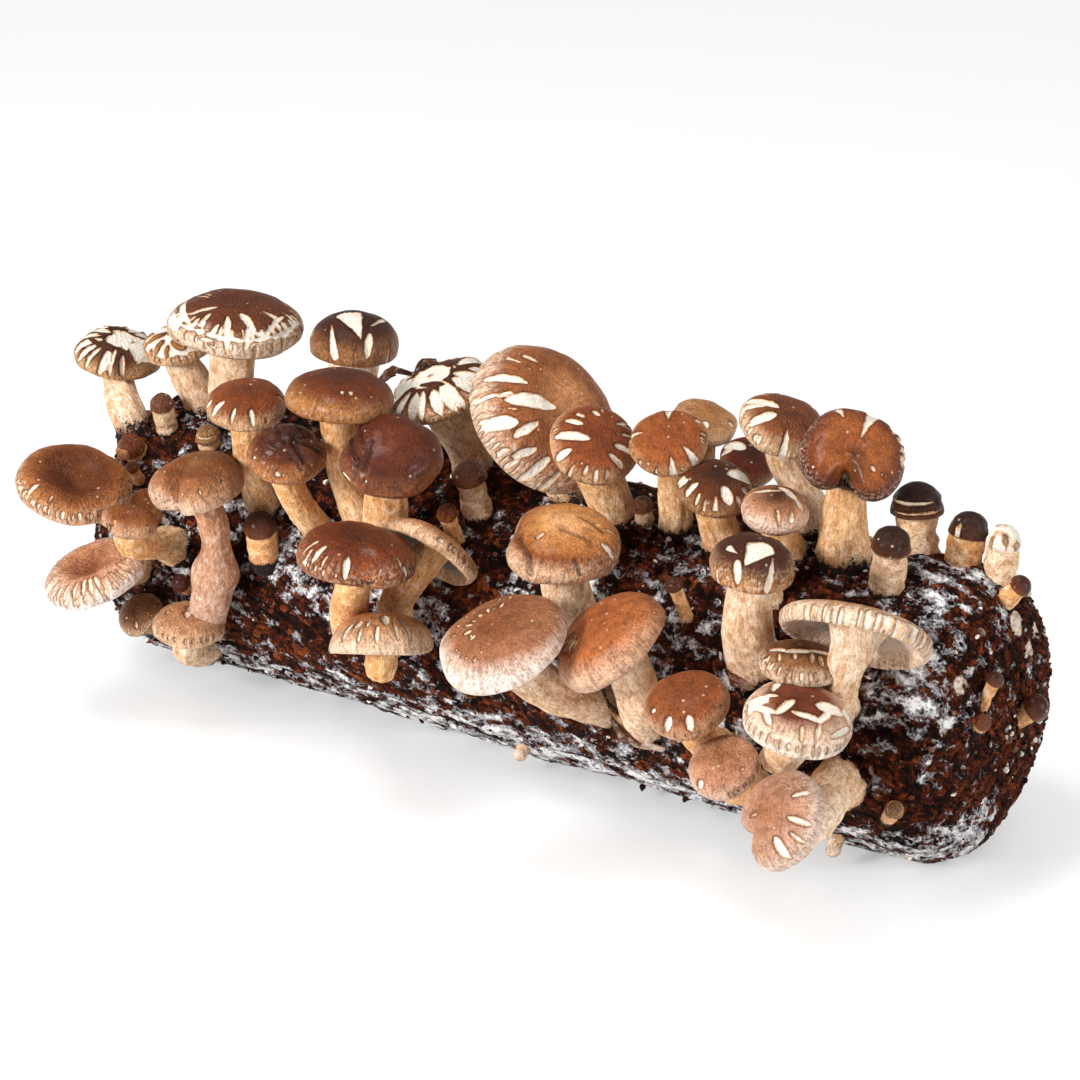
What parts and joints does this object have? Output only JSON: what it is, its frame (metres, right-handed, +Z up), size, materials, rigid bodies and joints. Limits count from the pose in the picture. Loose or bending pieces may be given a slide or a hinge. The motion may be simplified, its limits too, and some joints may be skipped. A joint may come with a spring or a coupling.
{
  "type": "shiitake log",
  "caption": "Sawdust fruiting log lying on its side, with shiitake mushrooms of every age growing from its top, front and ends.",
  "frame": {"origin": "on the surface it rests on, under the middle of the log", "axes": "+X along the log towards its near end, -Y towards its front with most mushrooms, +Z up"},
  "size_m": [0.3927, 0.1669, 0.1483],
  "materials": {
    "sawdust": "dark, crumbly sawdust bound by white mycelium, dull",
    "cap_skin": "brown cap skin, satin, cracked to cream flesh",
    "stem_flesh": "cream to golden fibrous stem, matt",
    "young_flesh": "dark brown closed cap on a cream stem, satin"
  },
  "bodies": {
    "root": {"log": "sawdust", "cap_01": "cap_skin", "cap_02": "cap_skin", "cap_03": "cap_skin", "cap_04": "cap_skin", "cap_05": "cap_skin", "cap_06": "cap_skin", "cap_07": "cap_skin", "cap_08": "cap_skin", "cap_09": "cap_skin", "cap_10": "cap_skin", "cap_11": "cap_skin", "cap_12": "cap_skin", "cap_13": "cap_skin", "cap_14": "cap_skin", "cap_15": "cap_skin", "cap_16": "cap_skin", "cap_17": "cap_skin", "cap_18": "cap_skin", "cap_19": "cap_skin", "cap_20": "cap_skin", "cap_21": "cap_skin", "cap_22": "cap_skin", "stem_01": "stem_flesh", "stem_02": "stem_flesh", "stem_03": "stem_flesh", "stem_04": "stem_flesh", "stem_05": "stem_flesh", "stem_06": "stem_flesh", "stem_07": "stem_flesh", "stem_08": "stem_flesh", "stem_09": "stem_flesh", "stem_10": "stem_flesh", "stem_11": "stem_flesh", "stem_12": "stem_flesh", "stem_13": "stem_flesh", "stem_14": "stem_flesh", "stem_15": "stem_flesh", "stem_16": "stem_flesh", "stem_17": "stem_flesh", "stem_18": "stem_flesh", "stem_19": "stem_flesh", "stem_20": "stem_flesh", "stem_21": "stem_flesh", "stem_22": "stem_flesh", "young_01": "young_flesh", "young_02": "young_flesh", "young_03": "young_flesh", "young_04": "young_flesh", "young_05": "young_flesh", "young_06": "young_flesh", "young_07": "young_flesh", "young_08": "young_flesh", "young_09": "young_flesh", "young_10": "young_flesh", "young_11": "young_flesh", "young_12": "young_flesh", "young_13": "young_flesh", "young_14": "young_flesh", "young_15": "young_flesh"}
  },
  "joints": []
}
